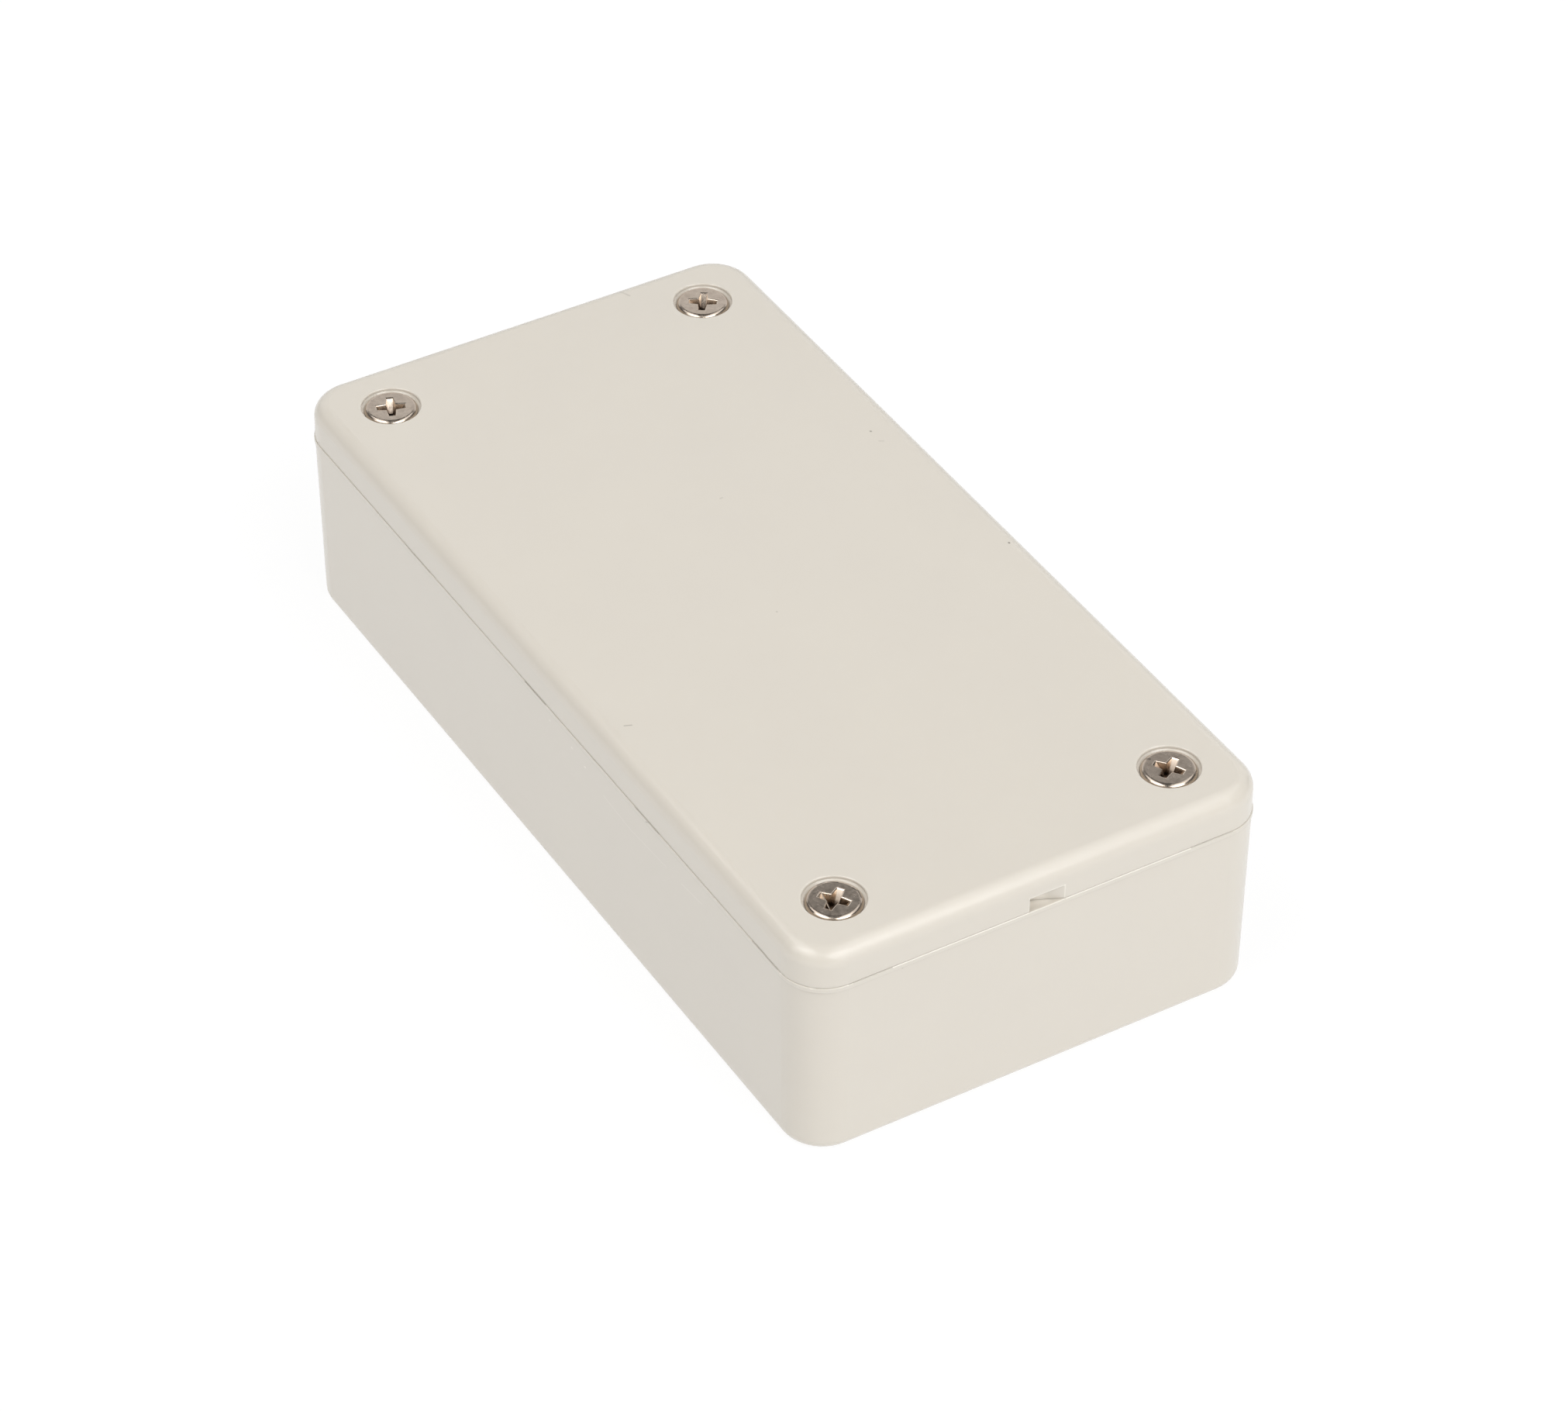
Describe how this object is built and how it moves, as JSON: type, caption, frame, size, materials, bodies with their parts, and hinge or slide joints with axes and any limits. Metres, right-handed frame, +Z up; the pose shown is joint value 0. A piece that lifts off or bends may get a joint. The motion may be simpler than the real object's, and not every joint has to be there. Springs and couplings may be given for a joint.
{
  "type": "plastic project box",
  "caption": "Small two-part plastic project box for a circuit module, with a countersunk screw-on lid, corner pillars, card guides and low board posts.",
  "frame": {"origin": "centre of the underside, on the surface the box stands on", "axes": "+X along the box towards the end with the pry slot, +Y across it, +Z up through the lid"},
  "size_m": [0.1002, 0.0502, 0.0243],
  "materials": {
    "shell_plastic": "satin moulded ABS, warm pebble grey",
    "plated_steel": "nickel-plated steel, slightly dulled",
    "insert_brass": "plain turned brass"
  },
  "bodies": {
    "base": {"base_shell": "shell_plastic", "thread_insert_1": "insert_brass", "thread_insert_2": "insert_brass", "thread_insert_3": "insert_brass", "thread_insert_4": "insert_brass"},
    "lid": {"lid": "shell_plastic"},
    "screw_1": {"lid_screw_1": "plated_steel"},
    "screw_2": {"lid_screw_2": "plated_steel"},
    "screw_3": {"lid_screw_3": "plated_steel"},
    "screw_4": {"lid_screw_4": "plated_steel"}
  },
  "joints": [
    {"name": "lid_lift", "type": "slide", "parent": "base", "child": "lid", "axis": [0, 0, 1], "range_m": [0, 0.03]},
    {"name": "unscrew_1", "type": "slide", "parent": "lid", "child": "screw_1", "axis": [0, 0, 1], "range_m": [0, 0.012]},
    {"name": "unscrew_2", "type": "slide", "parent": "lid", "child": "screw_2", "axis": [0, 0, 1], "range_m": [0, 0.012]},
    {"name": "unscrew_3", "type": "slide", "parent": "lid", "child": "screw_3", "axis": [0, 0, 1], "range_m": [0, 0.012]},
    {"name": "unscrew_4", "type": "slide", "parent": "lid", "child": "screw_4", "axis": [0, 0, 1], "range_m": [0, 0.012]}
  ]
}
